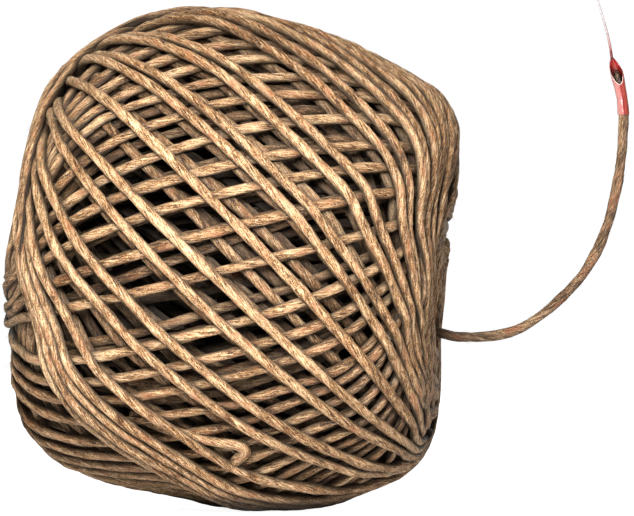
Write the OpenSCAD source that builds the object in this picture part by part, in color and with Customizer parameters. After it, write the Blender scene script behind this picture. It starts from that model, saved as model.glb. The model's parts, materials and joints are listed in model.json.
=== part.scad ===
// Centre-pull ball of waxed hemp cord, cross wound on a flyer, with its inner
// end drawn out as a free tail that carries a small red end sleeve.
// Origin: on the resting flat, under the middle of the ball. +Z up, -Y the front.
// +X: towards the end where the cord is drawn out. The winding axis dips that way,
// and the tail curls upwards from it in the XZ direction.

/* [Cord] */
// Diameter of the waxed cord
cord_d = 1.0; // [0.9:0.02:1.1]

/* [Ball] */
// Radius of the ball at its waist, over the last courses
ball_r = 24.6; // [24.2:0.1:25.4]
// Half of the ball's length along the winding axis
ball_half = 22.4; // [22:0.1:23]
// Height of the ball's middle above the resting flat
rest_h = 24.9; // [24.4:0.05:24.95]
// Dip of the winding axis below level, at the drawing-out end, degrees
axis_dip = 14; // [10:0.5:16]
// Swing of that end towards the front, degrees
axis_yaw = 5; // [0:0.5:8]
// How square the ends are: power on the length
end_power = 2.85; // [2.4:0.05:3.2]
// How square the waist is: power on the radius
waist_power = 3.1; // [2.8:0.1:3.6]

/* [Core hole] */
// Radius of the core hole at the peg end
hole_r = 5.0; // [4.7:0.05:5.1]
// Radius of the core hole at the drawing-out end
hole_exit_r = 4.6; // [4.2:0.05:4.65]
// How far each wider course stands back from the hole at the end faces
mouth_step = 0.9; // [0.6:0.05:1.2]

/* [Drawn end] */
// How far below the winding axis the drawn cord lies in the core hole
lead_drop = 1.86; // [1.6:0.02:2.4]
// Distance from mid-ball, along the winding axis, to the first bend of the tail
lead_out = 23.4; // [23.2:0.1:25]
// Dip of the tail where it leaves the first bend, degrees
tail_dip = 6.9; // [4:0.1:12]
// Turn of the cord in each tail length, degrees
tail_turn = 12; // [8:0.5:14]
// Running clearance between the rounded end of one tail length and the cup of the next
cup_gap = 0.02; // [0.015:0.005:0.04]

/* [Sleeve] */
// Outer radius of the end sleeve
sleeve_r = 0.66; // [0.64:0.01:0.72]
// Length of the sleeve up to its near lip
sleeve_near = 3.0; // [2.4:0.1:3.4]
// Length of the sleeve up to the point of its far wall
sleeve_far = 6.0; // [5:0.1:6.5]
// Lean of the sleeve back from the last tail length, degrees
sleeve_lean = 10; // [0:1:14]
// Length of the drawn thread, which starts just past the sleeve's full length
thread_len = 5.2; // [3:0.1:6]

/* [Hidden] */
$fn = 48;
tail_light = "#a07748";
tail_dark = "#96693c";
cord_r = cord_d / 2;
cord_clearance = 0.03;  // round the cord, in its groove and in the sleeve

// waist radius and half length of each course of windings, core outwards
course_waist = [10.5, 15, 19, 22.2, ball_r];
course_half = [ball_half - 1.7, ball_half - 1.2, ball_half - 0.75, ball_half - 0.35, ball_half];
course_gap = 0.03;
outline_steps = 44;
core_mouth_r = hole_r + 0.3;
course_mouth_r = hole_r + 0.4;  // of the first course over the core
hole_overlap = 0.5;             // of the exit bore into the peg-end bore
hole_overrun = 1;               // of both bores past the ball's ends

// cut end of the outermost lap
end_place = [0.2, -15.9, rest_h - 18.75];
end_tilt = 40;
end_swing = 22;
end_straight = 2.2;
end_bend_r = 1.5;
end_bend = 60;

// drawn cord
lead_start = 2;                  // distance from mid-ball along the axis
ball_end_r = cord_r - 0.01;      // rounded ends are a hair under the cord's size
cup_back = 0.3 * cord_d;         // how far the cupped end face is cut back
tail_len = [3.1, 2.4, 2.1, 3.15, 4.0, 3.45, 4.5, 9.0];  // ball outwards

// sleeve and thread, as distances along the sleeve
sleeve_start = 0.1;
singed_start = 0.12;
singed_stop = sleeve_near - 0.08;
thread_start = sleeve_far + 0.01;
thread_inset = 0.09;             // from the sleeve's outer radius
thread_lean = 8;
thread_root_r = 0.1;
thread_tip_r = 0.05;

// where the tail starts, from unit vectors along the winding axis and down from it
axis_dir = [cos(axis_dip) * cos(axis_yaw), -cos(axis_dip) * sin(axis_yaw), -sin(axis_dip)];
down_dir = [-sin(axis_dip) * cos(axis_yaw), sin(axis_dip) * sin(axis_yaw), -cos(axis_dip)];
tail_start = [0, 0, rest_h] + lead_out * axis_dir + lead_drop * down_dir;

// --- Ball ---

// waist-to-end outline of a course: radius at distance x along the axis
function course_radius(x, half, waist) =
    waist * pow(max(0, 1 - pow(min(1, abs(x) / half), end_power)), 1 / waist_power);
// distance along the axis where the outline comes down to the mouth radius
function course_reach(mouth, half, waist) =
    half * pow(1 - pow(mouth / waist, waist_power), 1 / end_power);
// outline points from +reach to -reach, closer together towards the ends
function outline(half, waist, mouth) =
    let (reach = course_reach(mouth, half, waist))
    [for (i = [0:outline_steps])
        let (x = reach * cos(180 * i / outline_steps))
        [i == 0 || i == outline_steps ? mouth : max(mouth, course_radius(x, half, waist)), x]];
function reversed(points) = [for (i = [len(points) - 1:-1:0]) points[i]];

// puts +Z on the winding axis, towards the drawing-out end, from mid-ball; +X points down
module along_axis()
    translate([0, 0, rest_h]) rotate([0, 90 + axis_dip, -axis_yaw]) children();
// lays +Z along +X
module along_x() rotate([0, 90, 0]) children();

// one course of windings between two outlines, open round the core hole
module course(k) {
    mouth = course_mouth_r + mouth_step * (k - 1);
    outer = outline(course_half[k], course_waist[k], mouth);
    inner = outline(course_half[k - 1] + course_gap, course_waist[k - 1] + course_gap, mouth);
    along_axis() rotate_extrude($fn = 96) polygon(concat(outer, reversed(inner)));
}

// innermost windings, bored from both ends to two radii
module core_wraps() color("#6b4726") along_axis() {
    reach = course_reach(core_mouth_r, course_half[0], course_waist[0]);
    bore_end = ball_half + hole_overrun;
    difference() {
        rotate_extrude($fn = 96)
            polygon(concat(outline(course_half[0], course_waist[0], core_mouth_r),
                           [[0, -reach], [0, reach]]));
        translate([0, 0, -bore_end]) cylinder(r = hole_r, h = bore_end, $fn = 64);
        translate([0, 0, -hole_overlap])
            cylinder(r = hole_exit_r, h = bore_end + hole_overlap, $fn = 64);
    }
}
module inner_wraps() color("#7a5230") course(1);
module middle_wraps() color("#875c37") course(2);
module under_wraps() color("#946640") course(3);
// the last courses, with a small flat where the ball sits and a groove for the tucked end
module outer_wraps() color("#a97c4e") difference() {
    course(4);
    translate([-20, -20, -10]) cube([40, 40, 10]);
    end_path(cord_r + cord_clearance, extra_len = 0.05, extra_turn = 0.15);
}

// path of the cut end, low on the front: a short straight, then a bend
module end_path(r, extra_len = 0, extra_turn = 0)
    translate(end_place) rotate([end_tilt, 0, 0]) rotate([0, 0, end_swing]) {
        rotate([0, -90, 0]) cylinder(r = r, h = end_straight + extra_len);
        translate([0, end_bend_r, 0]) rotate([0, 0, -90])
            rotate_extrude(angle = end_bend + extra_turn)
            translate([end_bend_r, 0]) circle(r = r);
    }
// cut end of the outermost lap, bent and tucked between the windings
module outer_end() color("#b48656") end_path(cord_r);

// --- Drawn end ---

module round_end() sphere(r = ball_end_r);

// straight cord in the core hole, with a ball end where the tail starts
module inner_lead() color("#8f6a43") along_axis() translate([lead_drop, 0, 0]) {
    translate([0, 0, lead_start]) cylinder(r = cord_r, h = lead_out - lead_start);
    translate([0, 0, lead_out]) round_end();
}

// a tail length is an arc from the origin along +X, bending up by tail_turn
function bend_radius(length) = length / (tail_turn * PI / 180);
function bend_end(length) =
    bend_radius(length) * [sin(tail_turn), 0, 1 - cos(tail_turn)];

// moves children to the start of tail length i, counted from 0 at the ball
module at_tail(i) {
    if (i == 0)
        translate(tail_start) rotate([0, tail_dip, 0]) children();
    else
        at_tail(i - 1) translate(bend_end(tail_len[i - 1])) rotate([0, -tail_turn, 0]) children();
}

// tail length i: starts with a cup and, except for the last, stops with a rounded end
module tail_length(i) {
    bend_r = bend_radius(tail_len[i]);
    at_tail(i) difference() {
        union() {
            translate([0, 0, bend_r]) rotate([90, 0, 0]) rotate([0, 0, -90])
                rotate_extrude(angle = tail_turn) translate([bend_r, 0]) circle(r = cord_r);
            if (i < len(tail_len) - 1) translate(bend_end(tail_len[i])) round_end();
        }
        sphere(r = ball_end_r + cup_gap);
        translate([-2, -2, -2]) cube([2 + cup_back, 4, 4]);
    }
}
module tail_1() color(tail_light) tail_length(0);
module tail_2() color(tail_dark) tail_length(1);
module tail_3() color(tail_light) tail_length(2);
module tail_4() color(tail_dark) tail_length(3);
module tail_5() color(tail_light) tail_length(4);
module tail_6() color(tail_dark) tail_length(5);
module tail_7() color(tail_light) tail_length(6);
module tail_8() color(tail_dark) tail_length(7);

// --- Sleeve ---

// puts +X along the sleeve, from the end of the tail
module at_sleeve() at_tail(len(tail_len)) rotate([0, -sleeve_lean, 0]) children();

// thin tube whose mouth is cut on the slant: near lip at the back, point at the front
module end_sleeve() color([0.82, 0.25, 0.22, 0.8]) at_sleeve() difference() {
    translate([sleeve_start, 0, 0]) along_x()
        cylinder(r = sleeve_r, h = sleeve_far - sleeve_start);
    translate([-1, 0, 0]) along_x()
        cylinder(r = cord_r + cord_clearance, h = sleeve_far + 2);
    translate([(sleeve_near + sleeve_far) / 2, 0, 0])
        rotate([0, 0, -atan2(2 * sleeve_r, sleeve_far - sleeve_near)])
        translate([-10, 0, -5]) cube([20, 10, 10]);
}
// blackened, rounded end of the cord inside the sleeve
module singed_end() color("#2a120c") at_sleeve() {
    translate([singed_start, 0, 0]) along_x()
        cylinder(r = cord_r, h = singed_stop - singed_start);
    translate([singed_stop, 0, 0]) sphere(r = cord_r);
}
// fine tapering thread past the sleeve, on its back (+Y) side
module drawn_thread() color("#b8a8a4") at_sleeve()
    translate([thread_start, sleeve_r - thread_inset, 0]) rotate([0, -thread_lean, 0])
        along_x() cylinder(r1 = thread_root_r, r2 = thread_tip_r, h = thread_len);

core_wraps();
inner_wraps();
middle_wraps();
under_wraps();
outer_wraps();
outer_end();
inner_lead();
tail_1();
tail_2();
tail_3();
tail_4();
tail_5();
tail_6();
tail_7();
tail_8();
end_sleeve();
singed_end();
drawn_thread();
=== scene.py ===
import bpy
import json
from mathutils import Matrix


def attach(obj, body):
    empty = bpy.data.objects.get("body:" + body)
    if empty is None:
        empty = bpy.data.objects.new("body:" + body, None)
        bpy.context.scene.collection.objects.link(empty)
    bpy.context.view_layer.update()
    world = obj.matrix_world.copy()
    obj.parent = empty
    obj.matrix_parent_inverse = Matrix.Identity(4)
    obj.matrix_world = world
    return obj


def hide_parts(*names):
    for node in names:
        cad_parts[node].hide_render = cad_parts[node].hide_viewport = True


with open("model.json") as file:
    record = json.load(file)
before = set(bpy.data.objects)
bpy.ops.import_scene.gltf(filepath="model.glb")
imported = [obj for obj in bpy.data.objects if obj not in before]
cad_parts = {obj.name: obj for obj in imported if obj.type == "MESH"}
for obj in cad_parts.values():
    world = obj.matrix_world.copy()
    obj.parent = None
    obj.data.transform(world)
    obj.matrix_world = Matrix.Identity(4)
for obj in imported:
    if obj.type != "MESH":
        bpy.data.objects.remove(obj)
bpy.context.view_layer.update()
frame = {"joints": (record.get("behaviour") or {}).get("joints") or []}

import bpy
import json
import math
import numpy as np
from mathutils import Vector

MM = 0.001                       # lengths are in millimetres until a mesh is written

# ---------------------------------------------------------------- the ball's shape
CORD_RADIUS = 0.5
CENTRE = np.array([0.0, 0.0, 24.9])
FRONT = np.array([0.0, -1.0, 0.0])
DIP, YAW = math.radians(14), math.radians(5)
AXIS = np.array([math.cos(DIP) * math.cos(YAW), -math.cos(DIP) * math.sin(YAW), -math.sin(DIP)])
# the two directions square to the axis, one to the front and one upward
TOWARD = FRONT - AXIS * (-AXIS[1])
TOWARD /= np.linalg.norm(TOWARD)
UP = np.cross(TOWARD, AXIS)

# Outline of the finished ball: polar angle from the winding axis in degrees, and radius.
OUTLINE = np.array([
    (0, 22.4), (8, 22.7), (15, 23.1), (25, 24.3), (30, 24.8), (35, 25.35), (40, 25.85),
    (45, 26.25), (50, 26.5), (55, 26.45), (60, 26.2), (65, 25.85), (70, 25.45), (75, 25.1),
    (80, 24.8), (90, 24.5)])

# How the outline seen from the front departs from a turned shape: waves round, cosine, sine.
SKEW = [
    (0, -0.0116, 0.0), (1, 0.0051, -0.0061), (2, -0.0495, 0.008), (3, -0.0078, -0.0076),
    (4, -0.0289, -0.0112), (5, -0.0118, 0.0109), (6, -0.0116, -0.001), (7, -0.0052, 0.0007),
    (8, 0.0112, -0.0032), (9, 0.0012, -0.0056), (10, 0.0029, -0.0043), (11, 0.0001, -0.0019),
    (12, 0.0027, 0.0013)]
SKEW_RADIUS = 24.0               # the skew is full from this radius outward
FLOOR_EASE = 0.6                 # height over which cord is flattened against the floor


def outline(theta):
    folded = np.where(theta > math.pi / 2, math.pi - theta, theta)
    return np.interp(folded, np.radians(OUTLINE[:, 0]), OUTLINE[:, 1])


def settle(points, flatten=True):
    """Takes points about the ball's middle to their places on the floor."""
    bearing = np.arctan2(points[:, 2], points[:, 0])
    factor = np.ones(len(points))
    for waves, cosine, sine in SKEW:
        factor += cosine * np.cos(waves * bearing) + sine * np.sin(waves * bearing)
    reach = np.clip(np.hypot(points[:, 0], points[:, 2]) / SKEW_RADIUS, 0, 1)
    factor = 1 + (factor - 1) * reach ** 2
    placed = points.copy()
    placed[:, 0] *= factor
    placed[:, 2] *= factor
    placed += CENTRE
    if flatten:
        z = placed[:, 2]
        low = CORD_RADIUS
        eased = low + FLOOR_EASE * np.exp(np.minimum(0, (z - low - FLOOR_EASE) / FLOOR_EASE))
        placed[:, 2] = np.where(z < low + FLOOR_EASE, eased, z)
    return placed


def about_axis(x, radius, angle):
    """Points by their place along the winding axis, distance from it and angle round it."""
    return (CENTRE + x[..., None] * AXIS + (radius * np.cos(angle))[..., None] * UP
            + (radius * np.sin(angle))[..., None] * TOWARD)


# ---------------------------------------------------------------- curves and noise
def between_knots(knots, place):
    """Smooth values between the knots of a repeating run."""
    i = np.floor(place).astype(int)
    part = place - i
    part = part * part * (3 - 2 * part)
    return knots[i % len(knots)] * (1 - part) + knots[(i + 1) % len(knots)] * part


def noise(x, seed, scale):
    """Smooth random values along a length, at about one wave per scale."""
    return between_knots(np.random.default_rng(seed).normal(0, 1, 512), x / scale)


def wander(count, knots, amount, random):
    """Slow random variation round a closed loop."""
    values = random.normal(0, 1, knots)
    return amount * between_knots(values, np.arange(count) / count * knots)


def smooth_closed(values, sigma):
    """Gaussian smoothing round a closed run of samples."""
    wave = np.fft.rfftfreq(len(values)) * 2 * math.pi
    return np.fft.irfft(np.fft.rfft(values) * np.exp(-0.5 * (wave * sigma) ** 2), len(values))


def resample(points, step):
    """A closed loop at an even step. Columns past the third are carried along."""
    ring = np.vstack([points, points[:1]])
    lengths = np.linalg.norm(np.diff(ring[:, :3], axis=0), axis=1)
    run = np.concatenate([[0], np.cumsum(lengths)])
    count = int(round(run[-1] / step))
    at = np.arange(count) / count * run[-1]
    return np.stack([np.interp(at, run, column) for column in ring.T], 1)


def spline(points, step):
    """A natural cubic through points, at an even step."""
    knots = np.array(points, float)
    run = np.concatenate([[0], np.cumsum(np.linalg.norm(np.diff(knots, axis=0), axis=1))])
    count = len(knots)
    matrix = np.zeros((count, count))
    right = np.zeros((count, 3))
    matrix[0, 0] = matrix[-1, -1] = 1
    span = np.diff(run)
    for i in range(1, count - 1):
        matrix[i, i - 1:i + 2] = span[i - 1], 2 * (span[i - 1] + span[i]), span[i]
        right[i] = 6 * ((knots[i + 1] - knots[i]) / span[i]
                        - (knots[i] - knots[i - 1]) / span[i - 1])
    bend = np.linalg.solve(matrix, right)
    at = np.linspace(0, run[-1], max(8, int(round(run[-1] / step)) + 1))
    i = np.clip(np.searchsorted(run, at, side="right") - 1, 0, count - 2)
    width = span[i][:, None]
    after = (run[i + 1] - at)[:, None]
    before = (at - run[i])[:, None]
    return ((bend[i] * after ** 3 + bend[i + 1] * before ** 3) / (6 * width)
            + (knots[i] / width - bend[i] * width / 6) * after
            + (knots[i + 1] / width - bend[i + 1] * width / 6) * before)


# ---------------------------------------------------------------- winding
# Where each course of the three outer layers crosses the front, read round the winding axis,
# in degrees. The outermost layer comes first.
FRONT_ANGLES = (
    [26, 29.2, 32.2, 35.2, 43.7, 58, 64.7, 77.7, 87, 101.6, 113.3, 118.4, 130, 134.7, 148.5,
     157, 164, 170, 176],
    [181.5, 187, 192.5, 199, 205.5, 212, 219.5, 227.3, 235.3, 243, 250.5, 265.3, 276, 286.4,
     294, 304.7, 314.5, 322, 330.7, 340, 349],
    [364, 372, 381, 390, 401, 412, 424, 436, 447, 455.5, 465.5, 474, 483, 492, 500, 511, 521,
     532])
OUTER_LAYERS = len(FRONT_ANGLES)
INNER_START = 543.0              # front angle of the first course of the inner layers
INNER_COUNTS = (17, 17, 16, 15, 14, 13, 12, 12)
# angle between the planes of a layer's courses and the winding axis, in degrees
LAYER_TILTS = (30, 30, 29, 29.5, 28, 26, 23.5, 21, 18.5, 16, 14)
SAMPLES = 640                    # points round one course
AROUND = np.arange(SAMPLES) / SAMPLES * 2 * math.pi
CROSSING_RISE = 0.93             # how much one course adds where two cross
TRACK_OFFSETS = np.linspace(-2 * CORD_RADIUS, 2 * CORD_RADIUS, 19)[None, :]
TRACK_LIFT = np.sqrt(np.maximum(0, 4 * CORD_RADIUS ** 2 - TRACK_OFFSETS ** 2)) * 0.94


class HeightField:
    """How far out the middle of a new cord has to lie, by direction, on a cube's six faces."""
    CELLS = 220
    MARGIN = 10
    WIDTH = CELLS + 2 * MARGIN

    def __init__(self):
        self.heights = np.zeros((6, self.WIDTH * self.WIDTH))

    def cells(self, directions, face):
        main, *cross = ((0, 1, 2), (1, 2, 0), (2, 0, 1))[face % 3]
        outward = directions[:, main] * (1.0 if face < 3 else -1.0)
        inside = outward > 0.5
        divisor = np.where(inside, outward, 1.0)
        x, y = [(np.arctan(directions[:, axis] / divisor) * (4 / math.pi) + 1) * 0.5 * self.CELLS
                + self.MARGIN - 0.5 for axis in cross]
        edge = self.WIDTH - 1.001
        inside &= (x > 0) & (y > 0) & (x < edge) & (y < edge)
        return inside, x, y

    def put(self, directions, radii):
        for face in range(6):
            inside, x, y = self.cells(directions, face)
            i = np.rint(x[inside]).astype(int) * self.WIDTH + np.rint(y[inside]).astype(int)
            np.maximum.at(self.heights[face], i, radii[inside])

    def get(self, directions):
        found = np.zeros(len(directions))
        main = np.argmax(np.abs(directions), 1)
        faces = main + 3 * (directions[np.arange(len(directions)), main] < 0)
        for face in range(6):
            chosen = faces == face
            _, x, y = self.cells(directions[chosen], face)
            x, y = np.clip(x, 0, self.WIDTH - 1.01), np.clip(y, 0, self.WIDTH - 1.01)
            i, j = x.astype(int), y.astype(int)
            right, above = x - i, y - j
            grid = self.heights[face]
            near, far = i * self.WIDTH + j, (i + 1) * self.WIDTH + j
            found[chosen] = ((grid[near] * (1 - above) + grid[near + 1] * above) * (1 - right)
                             + (grid[far] * (1 - above) + grid[far + 1] * above) * right)
        return found


def taut(radii, angles):
    """A taut string round points at these radii and angles: the radius of their convex hull."""
    x, y = radii * np.cos(angles), radii * np.sin(angles)
    outermost = int(np.argmax(radii))
    count = len(radii)
    stack = []
    for step in range(count + 1):
        i = (outermost + step) % count
        while len(stack) >= 2:
            a, b = stack[-2], stack[-1]
            if (x[b] - x[a]) * (y[i] - y[a]) - (y[b] - y[a]) * (x[i] - x[a]) > 0:
                break
            stack.pop()
        stack.append(i)
    pulled = radii.copy()
    for a, b in zip(stack[:-1], stack[1:]):
        gap = (b - a) % count
        if gap <= 1:
            continue
        i = (a + np.arange(1, gap)) % count
        along_x, along_y = x[b] - x[a], y[b] - y[a]
        cross = x[a] * along_y - y[a] * along_x
        pulled[i] = cross / (np.cos(angles[i]) * along_y - np.sin(angles[i]) * along_x)
    return np.maximum(pulled, radii)


def course_directions(turn, tilt, offset, wobble, random):
    """Directions round a near great circle. offset shifts it off the ball's middle."""
    turn, tilt = math.radians(turn), math.radians(tilt)
    lean = math.sin(turn) * UP + math.cos(turn) * TOWARD
    start = -math.cos(tilt) * AXIS + math.sin(tilt) * lean
    quarter = math.cos(turn) * UP - math.sin(turn) * TOWARD
    normal = np.cross(start, quarter)
    shift = (offset + wander(SAMPLES, 7, wobble, random)
             + wander(SAMPLES, 19, wobble * 0.35, random))
    circle = np.cos(AROUND)[:, None] * start + np.sin(AROUND)[:, None] * quarter
    directions = circle * np.sqrt(1 - shift ** 2)[:, None] + shift[:, None] * normal
    return directions / np.linalg.norm(directions, axis=1)[:, None]


def plan_courses():
    """The front angle, tilt and layer number of every course, outermost first."""
    random = np.random.default_rng(7)
    plan = []
    for layer, row in enumerate(FRONT_ANGLES):
        lower = LAYER_TILTS[0] - LAYER_TILTS[layer]
        for turn in row:
            plan.append((turn, LAYER_TILTS[0] + random.normal(0, 0.7) - lower, layer))
    turn = INNER_START
    for layer, count in enumerate(INNER_COUNTS, OUTER_LAYERS):
        for _ in range(count):
            plan.append((turn + random.normal(0, 1.6),
                         LAYER_TILTS[layer] + random.normal(0, 0.8), layer))
            turn += 180.0 / count
    return plan


def allowed_radii(directions, layer):
    """The highest and the lowest radius at which a layer's course may lie."""
    theta = np.arccos(np.clip(directions @ AXIS, -1, 1))
    polar = np.degrees(np.minimum(theta, math.pi - theta))
    depth = np.zeros(SAMPLES)
    for tilt in LAYER_TILTS[:layer]:
        x = np.clip((polar - tilt + 4) / 5, 0, 1)
        depth += CROSSING_RISE * x * x * (3 - 2 * x)
    # room is left for the pile-up where courses turn back round the ends
    top = outline(theta) - CORD_RADIUS - 0.55 * np.exp(-((polar - 33) / 9) ** 2)
    highest = top - np.maximum(0, depth - 0.25 * CROSSING_RISE) + 0.12
    lowest = top - depth - (1.0 if layer < OUTER_LAYERS else 0.25)
    return highest, lowest


def best_line(field, turn, tilt, layer):
    """The line, of three close tilts, that has least cord piled above its place."""
    outer = layer < OUTER_LAYERS
    change = 0.8 if outer else 1.2
    least = None
    for extra in (0, -change, change):
        random = np.random.default_rng(int(turn * 10) % 9999 + 11)
        offset = random.normal(-0.006, 0.008 if outer else 0.035)
        wobble = 0.0045 if outer else 0.012
        directions = course_directions(turn, tilt + extra, offset, wobble, random)
        highest, lowest = allowed_radii(directions, layer)
        need = field.get(directions)
        pile = np.maximum(0, need - highest).sum()
        if least is None or pile < least - 1:
            least = pile
            best = directions, need, highest, lowest
    return best


def limit(radii, highest, most, ease):
    """Eases radii over the highest down to within a set amount of it."""
    over = radii - highest
    return np.where(over > 0, highest + most * np.tanh(over / ease), radii)


def lay(field, points, directions):
    """Raises the field along a course just laid."""
    tangent = np.roll(points, -1, 0) - np.roll(points, 1, 0)
    tangent /= np.linalg.norm(tangent, axis=1)[:, None]
    side = np.cross(tangent, directions)
    side /= np.linalg.norm(side, axis=1)[:, None]
    # twice as many samples as the course has, so that no cell under it is missed
    middles = 0.5 * (points + np.roll(points, -1, 0))
    for base in (points, middles):
        track = base[:, None, :] + TRACK_OFFSETS[..., None] * side[:, None, :]
        radius = np.linalg.norm(base, axis=1)[:, None]
        height = radius * radius / np.linalg.norm(track, axis=2) + TRACK_LIFT
        track = track.reshape(-1, 3)
        track /= np.linalg.norm(track, axis=1)[:, None]
        field.put(track, height.ravel())


def wind():
    """Lays every course, the deepest first, each pulled taut over the ones below it."""
    field = HeightField()
    courses = []
    for turn, tilt, layer in reversed(plan_courses()):
        directions, need, highest, lowest = best_line(field, turn, tilt, layer)
        need = limit(np.maximum(need, lowest), highest, most=0.9, ease=1.3)
        radii = limit(taut(need, AROUND), highest, most=1.0, ease=1.0)
        points = directions * smooth_closed(radii, 3.0)[:, None]
        lay(field, points, directions)
        courses.append({"points": points, "layer": layer, "room": np.ones(SAMPLES)})
    courses.reverse()
    return courses


# ---------------------------------------------------------------- easing crowded courses apart
RELAX_STEP = 0.46
RELAX_LAYERS = OUTER_LAYERS + 1  # the last of these moves only a little
GAP = 2 * CORD_RADIUS * 0.97     # distance at which two cords touch
LATER_LIFT = 0.22                # how far a push is turned outward for the later course
LOWER_YIELD = 0.7                # how readily the lower course gives way
HOME_PULL = 0.02                 # pull back to a course's own line


def touching(points, owner):
    """Pairs of points of different courses that lie closer than the gap."""
    cell = np.floor((points + 40) / GAP).astype(np.int64)
    key = (cell[:, 0] * 128 + cell[:, 1]) * 128 + cell[:, 2]
    order = np.argsort(key, kind="stable")
    ordered = key[order]
    upper, lower = [], []
    for dx in (-1, 0, 1):
        for dy in (-1, 0, 1):
            base = ((cell[:, 0] + dx) * 128 + cell[:, 1] + dy) * 128 + cell[:, 2]
            low = np.searchsorted(ordered, base - 1, "left")
            count = np.searchsorted(ordered, base + 1, "right") - low
            i = np.repeat(np.arange(len(points)), count)
            within = np.arange(int(count.sum())) - np.repeat(np.cumsum(count) - count, count)
            j = order[np.repeat(low, count) + within]
            keep = owner[i] < owner[j]
            i, j = i[keep], j[keep]
            apart = points[i] - points[j]
            keep = np.einsum("ij,ij->i", apart, apart) < GAP * GAP
            upper.append(i[keep])
            lower.append(j[keep])
    return np.concatenate(upper), np.concatenate(lower)


def pushed_apart(points, upper, lower, freedom):
    count = len(points)
    apart = points[upper] - points[lower]
    distance = np.linalg.norm(apart, axis=1) + 1e-9
    outward = points[upper] / np.linalg.norm(points[upper], axis=1)[:, None]
    apart = apart + outward * (LATER_LIFT * GAP)        # the later course rides on top
    apart /= np.linalg.norm(apart, axis=1)[:, None]
    push = (GAP - distance)[:, None] * apart
    share_up, share_low = freedom[upper], freedom[lower] * LOWER_YIELD
    total = share_up + share_low
    move = np.zeros((count, 3))
    contacts = np.zeros(count)
    for i, share, sign in ((upper, share_up / total, 1.0), (lower, share_low / total, -1.0)):
        for j in range(3):
            move[:, j] += np.bincount(i, weights=sign * share * push[:, j], minlength=count)
        contacts += np.bincount(i, minlength=count)
    return points + move / np.maximum(1.0, contacts * 0.45)[:, None]


def kept_within(points):
    """Draws points in towards the outline, which stands a little prouder near the ends."""
    radius = np.linalg.norm(points, axis=1)
    theta = np.arccos(np.clip(points @ AXIS / radius, -1, 1))
    polar = np.degrees(np.minimum(theta, math.pi - theta))
    most = outline(theta) - CORD_RADIUS + 0.3 + 0.75 * np.exp(-((polar - 32) / 9) ** 2)
    return points * np.minimum(1.0, most / radius)[:, None] ** 0.7


def relax(courses, rounds):
    """Slides the outer courses off one another until no two share a place, keeping each taut."""
    loose = [course for course in courses if course["layer"] < RELAX_LAYERS]
    points, owner, after, before, freedom = [], [], [], [], []
    first = 0
    for number, course in enumerate(loose):
        points.append(resample(course["points"], RELAX_STEP))
        count = len(points[-1])
        i = np.arange(count)
        after.append(first + (i + 1) % count)
        before.append(first + (i - 1) % count)
        owner.append(np.full(count, number))
        freedom.append(np.full(count, 1.0 if course["layer"] < OUTER_LAYERS else 0.25))
        first += count
    points, owner, after, before, freedom = map(
        np.concatenate, (points, owner, after, before, freedom))
    home = points.copy()
    for _ in range(rounds):
        upper, lower = touching(points, owner)
        points = pushed_apart(points, upper, lower, freedom)
        for _ in range(3):
            middle = 0.5 * (points[after] + points[before])
            points = points + 0.33 * freedom[:, None] * (middle - points)
        points = kept_within(points)
        points += HOME_PULL * (home - points)
    # how near the nearest other course lies, so that a squeezed cord can be drawn thinner
    room = np.full(len(points), GAP)
    near = np.linalg.norm(points[upper] - points[lower], axis=1)
    np.minimum.at(room, upper, near)
    np.minimum.at(room, lower, near)
    for number, course in enumerate(loose):
        own = owner == number
        course["points"] = points[own]
        course["room"] = smooth_closed(np.minimum(room[own], GAP) / GAP, 2.2)


courses = wind()
relax(courses, rounds=26)


# ---------------------------------------------------------------- meshes
class Build:
    """Collects parts into one mesh, with two vectors for the materials at each point.

    "along" is the length along a cord, then the cosine and sine of the angle round it.
    "tone" is overall tone, mottling and painted shade for depth and flanks, except on the red
    sleeve.
    """

    def __init__(self):
        self.parts = []
        self.count = 0

    def add(self, points, faces, along, tone):
        self.parts.append((points, faces + self.count, along, tone))
        self.count += len(points)

    def place(self, name, material, body, slot, replaces=()):
        points, faces, along, tone = map(np.concatenate, zip(*self.parts))
        mesh = bpy.data.meshes.new(name)
        mesh.vertices.add(len(points))
        mesh.vertices.foreach_set("co", (points * MM).astype(np.float32).ravel())
        mesh.loops.add(faces.size)
        mesh.loops.foreach_set("vertex_index", faces.astype(np.int32).ravel())
        mesh.polygons.add(len(faces))
        starts = np.arange(0, faces.size, 4, dtype=np.int32)
        mesh.polygons.foreach_set("loop_start", starts)
        mesh.polygons.foreach_set("use_smooth", np.ones(len(faces), bool))
        for label, values in (("along", along), ("tone", tone)):
            attribute = mesh.attributes.new(label, "FLOAT_VECTOR", "POINT")
            attribute.data.foreach_set("vector", values.astype(np.float32).ravel())
        mesh.update(calc_edges=True)
        mesh.validate()
        mesh.materials.append(material)
        piece = bpy.data.objects.new(name, mesh)
        bpy.context.scene.collection.objects.link(piece)
        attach(piece, body)
        if replaces:
            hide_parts(*replaces)


def grid_faces(rows, columns, closed):
    """Quads over rows of points. Each row closes on itself; closed joins the last to the first."""
    i = np.arange(rows if closed else rows - 1)[:, None]
    j = np.arange(columns)[None, :]
    i2 = (i + 1) % rows
    j2 = (j + 1) % columns
    corners = [i * columns + j, i * columns + j2, i2 * columns + j2, i2 * columns + j]
    return np.stack(corners, -1).reshape(-1, 4)


def directions_along(path, closed, facing):
    """The tangent, the facing side and the cross direction at each point of a path."""
    if closed:
        tangent = np.roll(path, -1, 0) - np.roll(path, 1, 0)
    else:
        tangent = np.gradient(path, axis=0)
    tangent /= np.linalg.norm(tangent, axis=1)[:, None]
    out = facing - tangent * np.sum(facing * tangent, 1)[:, None]
    out /= np.linalg.norm(out, axis=1)[:, None]
    return tangent, out, np.cross(tangent, out)


TWIST_PITCH = 13.0
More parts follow.
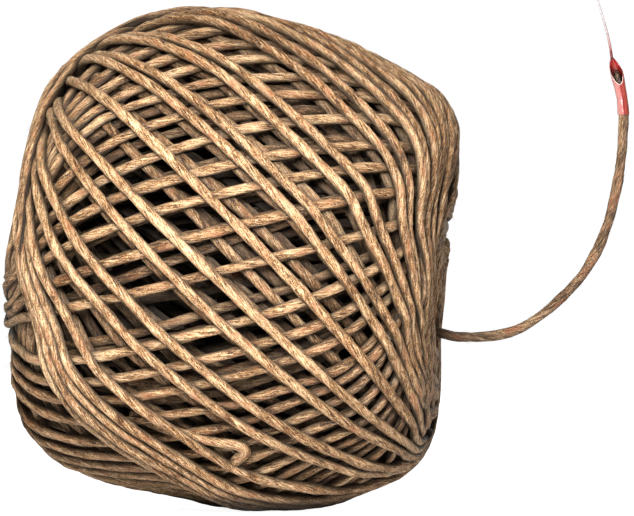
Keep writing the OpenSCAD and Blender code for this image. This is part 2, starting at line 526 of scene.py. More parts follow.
# the rings that close an open end: scale of the section, and distance out in cord radii
FLAT_END = ((0.72, 0.25), (0.34, 0.40), (0.04, 0.45))
ROUND_END = ((0.955, 0.22), (0.86, 0.46), (0.68, 0.68), (0.44, 0.85), (0.16, 0.94), (0.02, 0.955))


def cord_section(run, angle, twist, seed, rough):
    """The uneven radius of a cord, as a factor: twisted strands and finer unevenness."""
    phase = np.random.default_rng(seed).uniform(0, 6.28, 8)
    turned = angle - twist

    def wave(step, scale):
        return noise(run, seed + step, scale)[:, None]

    fine = wave(1, 0.9) * 0.6 + wave(2, 2.7) * 0.8
    return 1 + rough * (
        0.055 * np.cos(2 * turned + phase[0])
        + 0.030 * np.cos(3 * turned + phase[1] + 1.5 * wave(5, 4))
        + 0.026 * np.cos(5 * turned + phase[2] + 2.2 * wave(6, 3))
        + 0.052 * fine
        + 0.022 * np.cos(7 * turned + phase[3] + 3 * wave(7, 1.6)) * wave(8, 1.1))


def tube(build, path, facing, sides, seed, closed=False, tone=0.0, start=0.0, width=1.0,
         thickness=1.0, radius=CORD_RADIUS, taper=1.0, rough=1.0, depth=0.0, edge=0.0,
         end=FLAT_END):
    """A lightly twisted cord of fibres along a path, its flat side facing the given way.

    start is the length already run, taper a factor on the radius, depth the painted shade it lies
    in and edge the painted shade down its flanks. An open cord is closed off at both ends.
    """
    count = len(path)
    tangent, out, across = directions_along(path, closed, facing)
    lengths = np.linalg.norm(np.diff(np.vstack([path, path[:1]]), axis=0), axis=1)
    run = np.concatenate([[0], np.cumsum(lengths)[:-1]]) + start
    total = lengths.sum()
    angle = (np.arange(sides) / sides * 2 * math.pi)[None, :]
    pitch = total / max(1, round(total / TWIST_PITCH)) if closed else TWIST_PITCH
    twist = 2 * math.pi * run[:, None] / pitch
    section = cord_section(run, angle, twist, seed, rough)
    if closed:
        # fade the unmatched noise out where the loop joins itself
        from_join = np.minimum(run - start, total - (run - start))
        section = 1 + (section - 1) * np.clip(from_join / 3.0, 0, 1)[:, None]
    taper = np.broadcast_to(taper, count)[:, None]
    radii = radius * section * taper
    x = radii * np.cos(angle) * thickness
    y = radii * np.sin(angle) * width
    points = path[:, None, :] + x[..., None] * out[:, None, :] + y[..., None] * across[:, None, :]
    points = points.reshape(-1, 3)

    turned = angle - twist
    along = np.stack([np.repeat(run[:, None], sides, 1), np.cos(turned), np.sin(turned)], -1)
    along = along.reshape(-1, 3)
    mottle = noise(run, seed + 3, 5.0) * 0.5 + noise(run, seed + 4, 1.7) * 0.35
    # painted shade down the flanks of a cord, reaching further up a squeezed one
    crowd = np.clip((0.99 - taper) / 0.14, 0, 1)
    flank_shade = np.clip((0.70 + 0.20 * crowd - np.cos(angle)) / (0.74 - 0.20 * crowd), 0, 1)
    flank_shade = edge * flank_shade * (0.66 + 0.34 * crowd)
    depth = np.broadcast_to(depth, count)[:, None]
    shade = depth + (1 - depth) * flank_shade
    tones = np.stack([np.full((count, sides), tone), np.repeat(mottle[:, None], sides, 1),
                      shade], -1).reshape(-1, 3)

    parts = [(points, grid_faces(count, sides, closed), along, tones)]
    base = len(points)
    for row, sign in () if closed else ((0, -1.0), (count - 1, 1.0)):
        last = np.arange(sides) + row * sides
        rim = slice(row * sides, (row + 1) * sides)
        for scale, distance in end:
            ring = (path[row] + (points[rim] - path[row]) * scale
                    + sign * tangent[row] * distance * radius)
            i = base + np.arange(sides)
            faces = np.stack([last, np.roll(last, -1), np.roll(i, -1), i], -1)
            parts.append((ring, faces if sign > 0 else faces[:, ::-1], along[rim], tones[rim]))
            base += sides
            last = i
    build.add(*map(np.concatenate, zip(*parts)))


def fibres(build, path, facing, count, seed, tone, lift, length, thin, radius=CORD_RADIUS):
    """Loose fibres: thin tapered hairs that leave a cord's surface and curl back."""
    random = np.random.default_rng(seed)
    tangent, out, across = directions_along(path, False, facing)
    if len(path) < 4 or count < 1:
        return
    root = random.integers(1, len(path) - 1, count)
    angle = random.uniform(0, 2 * math.pi, count)
    sign = random.choice([-1.0, 1.0], count)
    reach = length * random.uniform(0.35, 1.25, count)
    rise = lift * random.uniform(0.15, 1.3, count)
    curl = random.normal(0, 0.35, count)[:, None]
    steps, sides = 6, 3
    part = np.linspace(0, 1, steps)
    outward = np.cos(angle)[:, None] * out[root] + np.sin(angle)[:, None] * across[root]
    sideways = -np.sin(angle)[:, None] * out[root] + np.cos(angle)[:, None] * across[root]
    middle = (path[root][:, None, :]
              + outward[:, None, :] * (radius * 0.92
                                       + rise[:, None] * (part[None] ** 1.3))[..., None]
              + tangent[root][:, None, :] * (sign * reach)[:, None, None]
              * (part[None] - 0.25 * part[None] ** 2)[..., None]
              + sideways[:, None, :] * (curl * part[None] ** 2 * reach[:, None])[..., None])
    corner = (np.arange(sides) / sides * 2 * math.pi)[None, None, :, None]
    section = (np.cos(corner) * outward[:, None, None, :]
               + np.sin(corner) * sideways[:, None, None, :])
    thickness = (thin * (1 - 0.8 * part))[None, :, None, None]
    points = (middle[:, :, None, :] + thickness * section).reshape(-1, 3)
    first = np.arange(count)[:, None, None] * steps * sides
    faces = (first + grid_faces(steps, sides, False)[None]).reshape(-1, 4)
    along = np.zeros((len(points), 3))
    along[:, 0] = np.repeat(root, steps * sides) * 0.3
    along[:, 1] = 1
    tones = np.zeros((len(points), 3))
    tones[:, 0] = tone + 0.6
    tones[:, 1] = 0.8
    build.add(points, faces, along, tones)


# ---------------------------------------------------------------- materials
# colour sockets of a Mix node set to RGBA
MIX_FACTOR, MIX_A, MIX_B, MIX_RESULT = 0, 6, 7, 2


def rgb(red, green, blue):
    """A linear colour from 8-bit sRGB values."""
    return tuple(value / 12.92 if value <= 0.04045 else ((value + 0.055) / 1.055) ** 2.4
                 for value in (red / 255, green / 255, blue / 255))


def darker(color, factor):
    return tuple(value * factor for value in color)


class Shader:
    """Short ways to add nodes to a tree. A value may be a number, a colour or an output."""

    def __init__(self, tree):
        self.tree = tree

    def node(self, kind, **settings):
        made = self.tree.nodes.new("ShaderNode" + kind)
        for name, value in settings.items():
            setattr(made, name, value)
        return made

    def put(self, node, values):
        for name, value in values.items():
            if isinstance(value, (int, float)):
                node.inputs[name].default_value = value
            elif isinstance(value, tuple):
                node.inputs[name].default_value = (*value, 1)
            else:
                self.tree.links.new(value, node.inputs[name])

    def math(self, operation, first, second, clamp):
        made = self.node("Math", operation=operation, use_clamp=clamp)
        self.put(made, {0: first, 1: second})
        return made.outputs[0]

    def add(self, first, second):
        return self.math("ADD", first, second, False)

    def sub(self, first, second, clamp=False):
        return self.math("SUBTRACT", first, second, clamp)

    def mul(self, first, second, clamp=False):
        return self.math("MULTIPLY", first, second, clamp)

    def mix(self, first, second, factor):
        made = self.node("Mix", data_type="RGBA", blend_type="MIX")
        self.put(made, {MIX_A: first, MIX_B: second, MIX_FACTOR: factor})
        return made.outputs[MIX_RESULT]

    def attribute(self, name):
        return self.node("Attribute", attribute_name=name).outputs["Vector"]

    def split(self, vector):
        made = self.node("SeparateXYZ")
        self.put(made, {0: vector})
        return made.outputs

    def ramp(self, value, stops):
        made = self.node("ValToRGB")
        elements = made.color_ramp.elements
        while len(elements) > 1:
            elements.remove(elements[-1])
        elements[0].position, elements[0].color = stops[0][0], (*stops[0][1], 1)
        for position, color in stops[1:]:
            elements.new(position).color = (*color, 1)
        self.put(made, {0: value})
        return made.outputs[0]

    def noise(self, vector, stretch, scale, detail, roughness=0.5, offset=(0, 0, 0)):
        mapping = self.node("Mapping")
        mapping.inputs["Scale"].default_value = stretch
        mapping.inputs["Location"].default_value = offset
        self.put(mapping, {"Vector": vector})
        texture = self.node("TexNoise")
        self.put(texture, {"Scale": scale, "Detail": detail, "Roughness": roughness,
                           "Vector": mapping.outputs[0]})
        return texture.outputs["Fac"]

    def bump(self, height, strength, distance):
        made = self.node("Bump")
        self.put(made, {"Strength": strength, "Distance": distance, "Height": height})
        return made.outputs[0]


def new_material(name):
    """An empty material, its shader and its output node."""
    material = bpy.data.materials.new(name)
    material.use_nodes = True
    material.node_tree.nodes.clear()
    shader = Shader(material.node_tree)
    return material, shader, shader.node("OutputMaterial")


def principled_material(name):
    material, shader, output = new_material(name)
    surface = shader.node("BsdfPrincipled")
    shader.put(output, {0: surface.outputs[0]})
    return material, shader, surface


def cord_material(name, light, mid, dark, deep, gloss=0.52, wax=0.35, grit=2.1, flecks=0.8):
    """Waxed hemp: fibres along the twisted cord, mottled by wax, with painted shade in the
    grooves.

    gloss is the middle roughness, wax the specular level, grit the strength of the fine grain
    and flecks that of the pale fibres.
    """
    material, shader, surface = principled_material(name)
    coords = shader.attribute("along")
    tone, mottle, depth = shader.split(shader.attribute("tone"))

    def fibre(along, around, scale, detail, seed, roughness=0.6):
        return shader.noise(coords, (along, around, around), scale, detail, roughness,
                            (seed, seed * 0.7, seed * 1.3))

    bundles = fibre(along=0.36, around=2.0, scale=1.5, detail=3, seed=3.1)
    singles = fibre(along=0.95, around=4.4, scale=1.4, detail=3, seed=17.7)
    blots = fibre(along=0.55, around=0.55, scale=1.0, detail=4, seed=41.0)
    specks = fibre(along=1.5, around=4.4, scale=1.3, detail=2, seed=77.0, roughness=0.5)
    value = shader.mul(bundles, 1.75)
    for layer, weight in ((singles, 1.65), (blots, 1.10), (specks, 1.15)):
        value = shader.add(value, shader.mul(layer, weight))
    grain = fibre(along=4.2, around=4.6, scale=1.8, detail=3, seed=211.0)
    value = shader.add(value, shader.mul(shader.sub(grain, 0.5), grit))
    value = shader.add(value, shader.mul(tone, 0.06))
    value = shader.add(value, shader.mul(mottle, 0.10))
    # half the sum of the four weights comes off, so that the value centres on 0.5
    value = shader.sub(value, 5.65 / 2 - 0.5)
    brightest = tuple(min(1, channel * 1.45) for channel in light)
    color = shader.ramp(value, [(0.02, deep), (0.28, dark), (0.52, mid), (0.78, light),
                                (1.0, brightest)])
    # pale single fibres caught on the surface
    pale = fibre(along=1.9, around=3.4, scale=1.5, detail=2, seed=133.0, roughness=0.5)
    pale = shader.mul(shader.sub(pale, 0.62), 9.0, clamp=True)
    color = shader.mix(color, rgb(232, 214, 190), shader.mul(pale, flecks))
    # warm red-brown patches where the wax is thick
    red = shader.mul(shader.sub(blots, 0.51), 6.0, clamp=True)
    color = shader.mix(color, rgb(146, 78, 42), shader.mul(red, 0.62))
    # painted shade: the deeper a cord lies the darker it is drawn
    shade = shader.mul(depth, 1.0, clamp=True)
    color = shader.mix(color, darker(deep, 0.25), shade)
    # painted shade where one cord lies against another, from ambient occlusion
    occlusion = shader.node("AmbientOcclusion", samples=4)
    shader.put(occlusion, {"Distance": 0.0020})
    nook_shade = shader.mul(shader.sub(0.90, occlusion.outputs["AO"]), 1.9, clamp=True)
    color = shader.mix(color, darker(deep, 0.35), shader.mul(nook_shade, 0.92))
    roughness = shader.add(shader.mul(singles, 0.30), gloss - 0.15)
    roughness = shader.sub(roughness, shader.mul(red, 0.12), clamp=True)
    height = shader.add(shader.mul(bundles, 0.8), shader.mul(singles, 1.0))
    height = shader.add(height, shader.mul(specks, 0.4))
    shader.put(surface, {
        "Base Color": color,
        "Roughness": roughness,
        "Specular IOR Level": wax,
        "Sheen Weight": 0.12,
        "Sheen Roughness": 0.5,
        "Sheen Tint": rgb(235, 205, 165),
        "Normal": shader.bump(height, strength=0.75, distance=0.00022)})
    return material


CORD = cord_material(
    "waxed_cord", light=rgb(210, 180, 142), mid=rgb(164, 120, 71), dark=rgb(109, 67, 33),
    deep=rgb(40, 22, 10))
# a darkened copy of the cord, as painted shade on the core deep in the ball
SHADED_INNER_CORD = cord_material(
    "waxed_cord_inner", light=rgb(80, 58, 38), mid=rgb(48, 33, 22), dark=rgb(26, 18, 12),
    deep=rgb(10, 8, 7), gloss=0.7, wax=0.15)
LOOSE_FIBRE = cord_material(
    "loose_fibre", light=rgb(232, 204, 166), mid=rgb(206, 170, 126), dark=rgb(160, 120, 80),
    deep=rgb(120, 84, 54), gloss=0.6)


# ---------------------------------------------------------------- the courses of the ball
def shade_depth(points):
    """How deep points lie under the outline, from 0 at the surface to 1, for painted shade."""
    radius = np.linalg.norm(points, axis=1)
    theta = np.arccos(np.clip(points @ AXIS / radius, -1, 1))
    x = np.clip((outline(theta) - CORD_RADIUS - radius - 0.9) / 4.2, 0, 1)
    return x * (0.55 + 0.45 * x)


def course_piece(name, items, sides, step, slot, replaces=(), fuzz=0, rough=1.0):
    """One object of numbered courses, and one of the loose fibres on them if fuzz is set."""
    cords = Build()
    hairs = Build()
    for number, course in items:
        loop = resample(np.column_stack([course["points"], course["room"]]), step)
        points, room = loop[:, :3], loop[:, 3]
        path = settle(points)
        facing = points / np.linalg.norm(points, axis=1)[:, None]
        random = np.random.default_rng(500 + number)
        # the tone is drawn before the width and the thickness
        tube(cords, path, facing, sides, seed=900 + number * 13, closed=True,
             tone=float(np.clip(random.normal(0, 0.8), -1.6, 1.6)), start=number * 37.0,
             width=random.uniform(0.98, 1.08), thickness=random.uniform(0.90, 0.98),
             # painted shade for how deep the course lies and down its flanks
             depth=shade_depth(points) * 0.97, rough=rough, edge=0.95,
             taper=np.clip(1.0 - 1.30 * (1.0 - room), 0.56, 1.0))
        if fuzz:
            fibres(hairs, path, facing, fuzz, seed=7000 + number, tone=0.0, lift=0.42,
                   length=1.5, thin=0.016)
            fibres(hairs, path, facing, max(1, fuzz // 12), seed=7700 + number, tone=0.0,
                   lift=1.3, length=2.4, thin=0.014)
    cords.place(name, CORD, "ball", slot, replaces)
    if fuzz:
        hairs.place(name + "_fibres", LOOSE_FIBRE, "ball", slot)


def in_layers(*layers):
    return [item for item in enumerate(courses) if item[1]["layer"] in layers]


FUZZ = 60        # loose fibres on each outer course
outermost, second = in_layers(0), in_layers(1)
half = len(outermost) // 2
course_piece("outer_courses_a", outermost[:half], 14, 0.30, "cord_courses", ["outer_wraps"], FUZZ)
course_piece("outer_courses_b", outermost[half:], 14, 0.32, "cord_courses", fuzz=FUZZ)
course_piece("under_courses_a", second[:10], 14, 0.34, "cord_courses", ["under_wraps"], FUZZ // 2)
course_piece("under_courses_b", second[10:], 14, 0.34, "cord_courses", fuzz=FUZZ // 2)
course_piece("third_courses", in_layers(2), 12, 0.42, "cord_core", ["middle_wraps"], FUZZ // 5)
course_piece("fourth_courses", in_layers(3), 10, 0.5, "cord_core")
course_piece("fifth_courses", in_layers(4, 5), 8, 0.7, "cord_core", ["inner_wraps"])
course_piece("inner_courses", in_layers(6, 7), 8, 0.8, "cord_core", rough=0.6)
course_piece("deep_courses", in_layers(8, 9, 10), 8, 0.9, "cord_core", rough=0.6)

# ---------------------------------------------------------------- the core and the hole's wall
HOLE_RADIUS = 4.95
CORE_RADIUS = 13.4
CORE_HALF_LENGTH = 19.6
CORE_LEAN = 0.11                 # radians a ridge turns round the axis per millimetre along it
CORE_RIDGES = 15                 # gives twice as many ridges each way
WALL_HALF_LENGTH = 20.6
WALL_CORDS = 17                  # cords each way round
WALL_LEAN = 0.052


def squared(wave):
    """Fills a sine or cosine out towards a square section."""
    return np.sign(wave) * np.abs(wave) ** 0.6


def wound_core():
    """A closed body under the courses with the hole through it, ridged like close turns."""
    columns, rows = ((220, 300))
    # the section through the core: out along the wall of the hole, round the belly and back
    section = np.linspace(0, 1, rows, endpoint=False) * 2 * math.pi
    sine = np.repeat(np.sin(section)[:, None], columns, 1)
    x = np.repeat((CORE_HALF_LENGTH * squared(np.cos(section)))[:, None], columns, 1)
    middle = (HOLE_RADIUS + CORE_RADIUS) / 2
    radius = middle + (CORE_RADIUS - HOLE_RADIUS) / 2 * squared(sine)
    angle = np.repeat((np.arange(columns) / columns * 2 * math.pi)[None, :], rows, 0)
    forward = (angle + x * CORE_LEAN) * CORE_RIDGES
    backward = (angle - x * CORE_LEAN) * CORE_RIDGES
    ridge = np.maximum(np.abs(np.cos(forward)), np.abs(np.cos(backward)) * 0.93)
    side = np.where(sine > 0, 1.0, -1.0)
    radius = radius + side * (ridge - 0.6) * 0.9 * (0.35 + 0.65 * np.abs(sine))
    points = about_axis(x, radius, angle).reshape(-1, 3)
    along = np.stack([x.ravel(), np.cos(forward).ravel(), np.sin(forward).ravel()], 1)
    tone = np.zeros((len(points), 3))
    # painted shade over the whole core
    tone[:, 2] = 0.35
    build = Build()
    build.add(points, grid_faces(rows, columns, True), along, tone)
    build.place("wound_core", SHADED_INNER_CORD, "ball", "cord_core", ["core_wraps"])


def hole_wall():
    """The first turns as they show inside the hole: steep crossing coils, flared at each mouth."""
    build = Build()
    x = np.linspace(-WALL_HALF_LENGTH, WALL_HALF_LENGTH, 110)
    flare = 0.9 * np.clip((np.abs(x) / WALL_HALF_LENGTH - 0.80) / 0.2, 0, 1) ** 2
    # painted shade, darker deeper inside the hole
    depth = np.clip((21.6 - np.abs(x)) / 14, 0.05, 0.8)
    # which way the coils lean, their angle offset and how far out they lie
    for lean, offset, out in ((1, 0.09, 0.0), (-1, 0.0, 0.52)):
        for i in range(WALL_CORDS):
            angle = i / WALL_CORDS * 2 * math.pi + offset + lean * WALL_LEAN * x
            radius = HOLE_RADIUS + 0.62 + out + flare + 0.1 * noise(x, 60 + i, 3)
            facing = np.outer(np.cos(angle), UP) + np.outer(np.sin(angle), TOWARD)
            tube(build, about_axis(x, radius, angle), facing, sides=8,
                 seed=3000 + i * 2 + (lean > 0), depth=depth)
    build.place("hole_wall", CORD, "ball", "cord_core")


wound_core()
hole_wall()

# ---------------------------------------------------------------- the drawn tail
JOINTS = {joint["child"]: np.array(joint["pos_m"], float) * 1000
          for joint in frame["joints"] if "pos_m" in joint}
TAIL_START = JOINTS["tail_1"]
TAIL_Y = TAIL_START[1]
TAIL_BACK = (22.5, 17.0, 11.0, 6.0, 2.6, 1.2)    # stations inside the ball, back along the axis
# x and z of the bend of the tail as it lies, in the upright plane it falls in
TAIL_BEND = [
    (23.45, 17.38), (25.25, 17.40), (26.45, 17.55), (27.65, 17.82), (28.85, 18.25),
    (30.05, 18.95), (31.25, 19.82), (32.45, 20.83), (33.65, 21.99), (34.85, 23.36),
    (36.05, 25.18), (36.95, 27.05), (37.65, 29.05), (38.18, 31.05), (38.57, 33.05),
    (38.86, 35.05), (39.04, 37.05), (39.11, 38.6), (39.136, 39.525)]


def tail():
    """The tail, cut at its joints into one lead and eight runs."""
    line = spline([TAIL_START - AXIS * back for back in TAIL_BACK] + [TAIL_START]
                  + [(x, TAIL_Y, z) for x, z in TAIL_BEND], step=0.16)
    run = np.concatenate([[0], np.cumsum(np.linalg.norm(np.diff(line, axis=0), axis=1))])
    names = ["tail_%d" % i for i in range(1, 9)]
    marks = [int(np.argmin(np.linalg.norm(line - JOINTS[name], axis=1))) for name in names]
    cuts = [0] + marks + [len(line) - 1]
    material = cord_material(
        "waxed_cord_tail", light=rgb(168, 138, 106), mid=rgb(124, 93, 63), dark=rgb(90, 64, 41),
        deep=rgb(52, 36, 23), grit=1.0, flecks=0.35)
    # painted shade, darkest where it has just come out of the ball
    out = run[marks[0]]
    shade = np.interp(run, [out - 3, out + 1, out + 8, out + 15], [0.72, 0.48, 0.22, 0.04])
    for i, (first, last) in enumerate(zip(cuts[:-1], cuts[1:])):
        build = Build()
        # each length is rounded about its joints, one end inside the next, so it stays
        # closed when it bends
        part = slice(first, last + 1)
        # edge is painted shade down its flanks
        tube(build, line[part], FRONT, sides=18, seed=4242, tone=-0.3, start=run[first],
             width=0.98, thickness=0.95, edge=0.8, depth=shade[part], end=ROUND_END)
        if i == 0:
            build.place("tail_lead", material, "drawn_cord", "cord_tail", ["inner_lead"])
            continue
        fibres(build, line[part], FRONT, int((run[last] - run[first]) * (5)),
               seed=88 + i, tone=-0.3, lift=0.22, length=1.3, thin=0.015)
        name = names[i - 1]
        build.place("tail_run_%d" % i, material, name, "cord_tail", [name])


tail()

# ---------------------------------------------------------------- the end of the outer cord
# x and z about the ball's middle, and depth under the outline: kinked, and tucked in at each end
KINK = [
    (-9.4, -14.6, 1.9), (-6.5, -16.0, 1.3), (-3.4, -17.0, 0.75), (-0.5, -17.55, 0.35),
    (1.15, -17.95, 0.15), (1.45, -18.25, 0.15), (1.1, -18.8, 0.3), (0.3, -19.5, 0.7),
    (-0.7, -20.2, 1.3), (-1.6, -20.7, 2.1)]


def on_front(x, z, under):
    """The point on the front of the ball, under its outline, that shows at x and z."""
    radius = 24.0
    for _ in range(6):
        y = -math.sqrt(max(1.0, radius * radius - x * x - z * z))
        point = np.array([x, y, z])
        theta = math.acos(float(np.clip(point @ AXIS / np.linalg.norm(point), -1, 1)))
        radius = float(outline(np.array([theta]))[0]) - CORD_RADIUS - under
    return point


def outer_end():
    points = spline([on_front(*station) for station in KINK], step=0.2)
    facing = points / np.linalg.norm(points, axis=1)[:, None]
    path = settle(points, flatten=False)
    build = Build()
    tube(build, path, facing, sides=14, seed=31337, tone=0.5, width=1.08, thickness=0.9,
         rough=1.3)
    fibres(build, path, facing, 60, seed=901, tone=0.6, lift=0.5, length=1.6, thin=0.016)
    build.place("outer_cord_end", CORD, "ball", "cord_courses", ["outer_end"])


outer_end()

# ---------------------------------------------------------------- sleeve, singed end and thread
# centre line of the sleeve: height above its foot, x and z
SLEEVE_LINE = np.array([
    (-0.4, 39.14, 39.12), (0.0, 39.13, 39.52), (1.5, 38.99, 41.02), (3.0, 38.72, 42.52),
    (4.5, 38.36, 44.0), (6.0, 37.93, 45.42)])
# height above its foot, and radius
SLEEVE_RADII = np.array([
    (0.0, 0.575), (0.25, 0.60), (1.5, 0.555), (2.6, 0.585), (3.6, 0.66), (4.4, 0.655),
    (5.2, 0.50), (5.7, 0.33), (6.0, 0.12)])
SLEEVE_FRONT = 3.05              # height of the rim at the front
SLEEVE_TOP = 6.0                 # and at the back
SLEEVE_WALL = 0.085


def sleeve_axis(height):
    heights, across, up = SLEEVE_LINE.T
    return np.stack([np.interp(height, heights, across), np.full(np.shape(height), TAIL_Y),
                     np.interp(height, heights, up)], -1)


def sleeve_ring(part, inner, angle, rim_height):
    """One ring of the sleeve, at a part of the way from its foot to its slanting rim.

    Its tone is a painted highlight on the near rim, 1 for the inner wall, and height over the
    sleeve's own.
    """
    height = part * rim_height
    cosine, sine = np.cos(angle), np.sin(angle)
    wave = 0.012 * np.sin(3 * angle + height * 2.1) + 0.008 * np.sin(7 * angle - height * 3.7)
    radius = (np.interp(height, SLEEVE_RADII[:, 0], SLEEVE_RADII[:, 1]) + wave
              - (SLEEVE_WALL if inner else 0.0))
    radius = np.maximum(radius, 0.03)
    points = sleeve_axis(height)
    points[:, 1] += -cosine * radius
    points[:, 0] += sine * radius
    # painted highlight on the near side of the rim
    at_rim = float(part > 0.99) if inner else np.clip((part - 0.97) / 0.03, 0, 1)
    rim = np.clip((cosine - 0.45) / 0.4, 0, 1) * at_rim
    tone = np.stack([rim, np.full(len(angle), 1.0 if inner else 0.0), height / SLEEVE_TOP], 1)
    return points, np.stack([height, cosine, sine], 1), tone


def sleeve_material():
    material, shader, surface = principled_material("red_sleeve")
    coords = shader.attribute("along")
    rim, inner, height = shader.split(shader.attribute("tone"))
    sine = shader.split(coords)[2]
    streaks = shader.noise(coords, (0.35, 2.6, 2.6), scale=1.6, detail=4)
    # the outside, from its left side to its right: a painted highlight makes the left pale pink,
    # with a dark crease right of the middle
    value = shader.add(shader.mul(sine, 0.5), 0.5)
    value = shader.add(value, shader.mul(shader.sub(streaks, 0.5), 0.30))
    outside = shader.ramp(value, [
        (0.05, rgb(184, 136, 132)), (0.28, rgb(178, 108, 103)), (0.46, rgb(166, 74, 68)),
        (0.57, rgb(118, 30, 26)), (0.70, rgb(160, 62, 54)), (0.95, rgb(166, 74, 60))])
    # the inside by height: painted shade, nearly black low down, red towards the crown
    inside = shader.ramp(height, [
        (0.40, rgb(22, 5, 4)), (0.66, rgb(44, 10, 7)), (0.76, rgb(96, 24, 18)),
        (0.86, rgb(158, 44, 40)), (0.94, rgb(140, 34, 30)), (1.0, rgb(84, 16, 14))])
    color = shader.mix(outside, inside, inner)
    crown = shader.mul(shader.sub(height, 0.74), 5.0, clamp=True)
    color = shader.mix(color, rgb(128, 24, 20), shader.mul(crown, 0.8))
    # painted highlight along the near rim, faded out under the crown
    rim = shader.mul(rim, shader.sub(1.0, crown, clamp=True))
    color = shader.mix(color, rgb(255, 240, 236), shader.mul(rim, 0.85))
    shader.put(surface, {
        "Base Color": color,
        "Roughness": shader.add(shader.mul(streaks, 0.25), 0.16),
        "Specular IOR Level": 0.6,
        "Coat Weight": 0.15,
        "Coat Roughness": 0.12,
        "Normal": shader.bump(streaks, strength=0.25, distance=0.00008)})
    return material


def sleeve():
    columns, rows = 40, 46
    angle = np.arange(columns) / columns * 2 * math.pi
    rim_height = SLEEVE_FRONT + 2.95 * (0.5 - 0.5 * np.cos(angle)) ** 0.9
    parts = np.linspace(0, 1, rows)
    rings = [sleeve_ring(part, False, angle, rim_height) for part in parts]
    rings += [sleeve_ring(min(part, 0.995), True, angle, rim_height) for part in parts[::-1]]
    points, along, tone = map(np.concatenate, zip(*rings))
    build = Build()
    build.add(points, grid_faces(2 * rows, columns, True), along, tone)
    build.place("red_end_sleeve", sleeve_material(), "tail_8", "red_sleeve", ["end_sleeve"])


def singed_end():
    """The singed end of the cord inside the sleeve, with painted shade on its flanks and down in
    the sleeve.
    """
    material = cord_material(
        "singed_cord", light=rgb(170, 128, 84), mid=rgb(108, 66, 36), dark=rgb(46, 20, 12),
        deep=rgb(12, 4, 3), gloss=0.4, wax=0.5)
    height = np.linspace(0.15, 4.35, 40)
    path = sleeve_axis(height)
    path[:, 1] += np.interp(height, [2.4, 3.2], [-0.02, 0.10])
    build = Build()
    # painted shade down its flanks and low down inside the sleeve; black at the singed tip
    tube(build, path, FRONT, sides=16, seed=515, tone=0.4, rough=2.2, edge=1.0,
         taper=np.interp(height, [0.1, 2.4, 3.1, 3.7, 4.15, 4.35],
                         [0.80, 0.80, 0.62, 0.56, 0.42, 0.20]),
         depth=np.interp(height, [2.9, 3.3, 3.9, 4.35], [0.7, 0.0, 0.25, 1.0]))
    fibres(build, path[20:], FRONT, 14, seed=61, tone=-1.0, lift=0.1, length=0.6, thin=0.012,
           radius=0.4)
    build.place("singed_cord_end", material, "tail_8", "singed_cord", ["singed_end"])


def thread_material():
    """Red at its foot, paling to grey along its length."""
    material, shader, surface = principled_material("drawn_fibre_thread")
    coords = shader.attribute("along")
    length = shader.split(coords)[0]
    streaks = shader.noise(coords, (1.4, 3.0, 3.0), scale=2.0, detail=4)
    value = shader.add(shader.mul(length, 0.19), shader.mul(shader.sub(streaks, 0.5), 0.22))
    color = shader.ramp(value, [
        (0.0, rgb(86, 14, 12)), (0.15, rgb(112, 34, 32)), (0.24, rgb(158, 108, 108)),
        (0.50, rgb(164, 148, 150)), (1.0, rgb(172, 168, 170))])
    shader.put(surface, {
        "Base Color": color,
        "Roughness": shader.add(shader.mul(streaks, 0.3), 0.25),
        "Sheen Weight": 0.3,
        "Normal": shader.bump(streaks, strength=0.4, distance=0.00004)})
    return material


def thread():
    """The thin thread that stands out of the top of the sleeve."""
    path = spline([
        (37.96, TAIL_Y + 0.05, 45.15), (37.84, TAIL_Y, 46.0), (37.60, TAIL_Y, 47.2),
        (37.26, TAIL_Y, 48.5), (36.92, TAIL_Y, 49.7), (36.53, TAIL_Y, 51.0)], step=0.1)
    build = Build()
    tube(build, path, FRONT, sides=10, seed=616, radius=0.15,
         taper=np.linspace(1.0, 0.6, len(path)))
    build.place("drawn_thread_fibre", thread_material(), "tail_8", "pale_thread",
                ["drawn_thread"])


sleeve()
singed_end()
thread()

# ---------------------------------------------------------------- floor, light and camera
# From here on lengths are in metres, except where MM is used.
FLOOR_GLOW = 0.95                # light the floor adds for the camera alone
FLOOR_X = (-3.0, 3.0)
FLOOR_Y = (-3.0, -0.4, 0.4, 3.0)
BALL_MIDDLE = (0, 0, 0.024)


def floor_material():
    material, shader, output = new_material("pale_floor")
    diffuse = shader.node("BsdfDiffuse")
    shader.put(diffuse, {"Color": (0.80, 0.80, 0.80)})
    emission = shader.node("Emission")
    camera_ray = shader.node("LightPath").outputs["Is Camera Ray"]
    shader.put(emission, {"Color": (1, 1, 1), "Strength": shader.mul(camera_ray, FLOOR_GLOW)})
    both = shader.node("AddShader")
    shader.put(both, {0: diffuse.outputs[0], 1: emission.outputs[0]})
    shader.put(output, {0: both.outputs[0]})
    return material


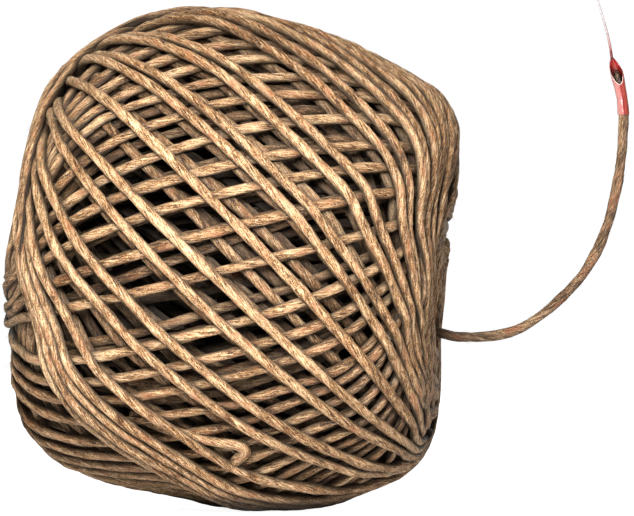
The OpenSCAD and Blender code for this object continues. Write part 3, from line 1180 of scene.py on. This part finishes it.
def floor():
    count = len(FLOOR_Y)
    points = [(x, y, 0.0) for x in FLOOR_X for y in FLOOR_Y]
    faces = [(i, i + 1, count + i + 1, count + i) for i in range(count - 1)]
    mesh = bpy.data.meshes.new("floor")
    mesh.from_pydata(points, [], faces)
    mesh.polygons.foreach_set("use_smooth", [True] * len(faces))
    mesh.materials.append(floor_material())
    piece = bpy.data.objects.new("floor", mesh)
    bpy.context.scene.collection.objects.link(piece)


def area_light(name, location, size, power, color=(1, 1, 1)):
    """A rectangular light aimed at the ball."""
    light = bpy.data.lights.new(name, "AREA")
    light.shape = "RECTANGLE"
    light.size, light.size_y = size
    light.energy = power
    light.color = color
    lamp = bpy.data.objects.new(name, light)
    lamp.location = location
    aim = Vector(BALL_MIDDLE) - Vector(location)
    lamp.rotation_euler = aim.to_track_quat("-Z", "Y").to_euler()
    bpy.context.scene.collection.objects.link(lamp)


def studio_world():
    """White to the camera, and a faint fill to everything else."""
    world = bpy.data.worlds.new("studio")
    world.use_nodes = True
    shader = Shader(world.node_tree)
    camera_ray = shader.node("LightPath").outputs["Is Camera Ray"]
    strength = shader.add(0.09, shader.mul(camera_ray, 0.93))
    shader.put(world.node_tree.nodes["Background"], {0: (1, 1, 1), 1: strength})
    bpy.context.scene.world = world


def front_camera(lens=400.0, sensor=36.0, view_width=63.4, x=8.55, z=25.25):
    """A long lens square to the front, far enough off to see view_width across."""
    data = bpy.data.cameras.new("camera")
    data.lens = lens
    data.sensor_width = sensor
    data.clip_start, data.clip_end = 0.005, 10
    camera = bpy.data.objects.new("camera", data)
    camera.location = (x * MM, -(view_width * lens / sensor) * MM, z * MM)
    camera.rotation_euler = (math.pi / 2, 0, 0)
    bpy.context.scene.collection.objects.link(camera)
    bpy.context.scene.camera = camera


floor()
area_light("key", location=(-0.013, -0.150, 0.074), size=(0.050, 0.050), power=0.50,
           color=(1.0, 0.985, 0.96))
area_light("fill", location=(0.26, -0.24, 0.10), size=(0.2, 0.2), power=0.06,
           color=(0.97, 0.985, 1.0))
area_light("back", location=(0.10, 0.70, 0.22), size=(0.8, 0.5), power=1.3)
area_light("top", location=(0.02, 0.02, 0.40), size=(0.3, 0.3), power=0.20)
studio_world()
front_camera()
bpy.context.scene.view_settings.view_transform = "Standard"
bpy.context.scene.view_settings.look = "None"
